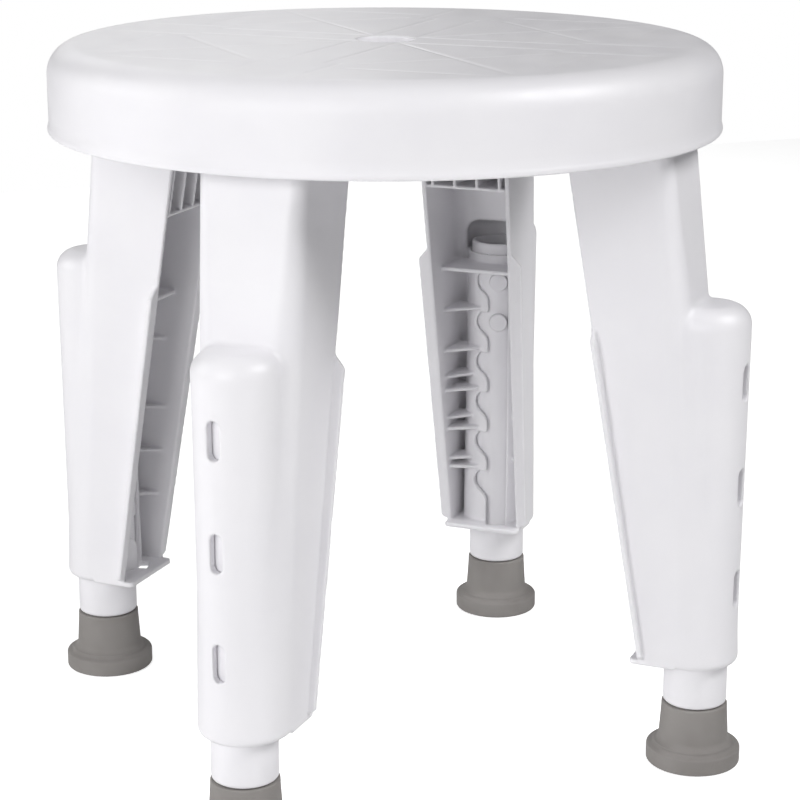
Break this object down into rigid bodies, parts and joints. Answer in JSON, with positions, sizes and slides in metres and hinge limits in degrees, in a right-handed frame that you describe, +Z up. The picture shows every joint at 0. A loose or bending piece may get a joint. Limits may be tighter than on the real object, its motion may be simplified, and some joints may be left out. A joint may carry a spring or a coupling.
{
  "type": "shower stool",
  "caption": "Round white plastic shower stool with a centre drain hole and four height-adjustable legs with twist-lock tubes and rubber feet.",
  "frame": {"origin": "on the floor under the middle of the seat, with the legs pushed right in", "axes": "+Z up; the legs stand on the diagonals of X and Y, and -Y is the front"},
  "size_m": [0.357, 0.357, 0.381],
  "materials": {
    "white_plastic": "satin moulded polypropylene",
    "grey_rubber": "matt moulded rubber"
  },
  "bodies": {
    "seat_frame": {"seat": "white_plastic", "leg_housing_front_left": "white_plastic", "leg_housing_front_right": "white_plastic", "leg_housing_rear_right": "white_plastic", "leg_housing_rear_left": "white_plastic"},
    "foot_front_left": {"rubber_foot_front_left": "grey_rubber"},
    "foot_front_right": {"rubber_foot_front_right": "grey_rubber"},
    "foot_rear_right": {"rubber_foot_rear_right": "grey_rubber"},
    "foot_rear_left": {"rubber_foot_rear_left": "grey_rubber"},
    "tube_front_left": {"leg_tube_front_left": "white_plastic"},
    "tube_front_right": {"leg_tube_front_right": "white_plastic"},
    "tube_rear_right": {"leg_tube_rear_right": "white_plastic"},
    "tube_rear_left": {"leg_tube_rear_left": "white_plastic"}
  },
  "joints": [
    {"name": "height_front_left", "type": "slide", "parent": "seat_frame", "child": "foot_front_left", "axis": [0, 0, -1], "range_m": [0, 0.1016]},
    {"name": "height_front_right", "type": "slide", "parent": "seat_frame", "child": "foot_front_right", "axis": [0, 0, -1], "range_m": [0, 0.1016]},
    {"name": "height_rear_right", "type": "slide", "parent": "seat_frame", "child": "foot_rear_right", "axis": [0, 0, -1], "range_m": [0, 0.1016]},
    {"name": "height_rear_left", "type": "slide", "parent": "seat_frame", "child": "foot_rear_left", "axis": [0, 0, -1], "range_m": [0, 0.1016]},
    {"name": "twist_front_left", "type": "hinge", "parent": "foot_front_left", "child": "tube_front_left", "pos_m": [-0.1277, -0.1277, 0], "axis": [0, 0, -1], "range_deg": [0, 27]},
    {"name": "twist_front_right", "type": "hinge", "parent": "foot_front_right", "child": "tube_front_right", "pos_m": [0.1277, -0.1277, 0], "axis": [0, 0, -1], "range_deg": [0, 27]},
    {"name": "twist_rear_right", "type": "hinge", "parent": "foot_rear_right", "child": "tube_rear_right", "pos_m": [0.1277, 0.1277, 0], "axis": [0, 0, -1], "range_deg": [0, 27]},
    {"name": "twist_rear_left", "type": "hinge", "parent": "foot_rear_left", "child": "tube_rear_left", "pos_m": [-0.1277, 0.1277, 0], "axis": [0, 0, -1], "range_deg": [0, 27]}
  ]
}
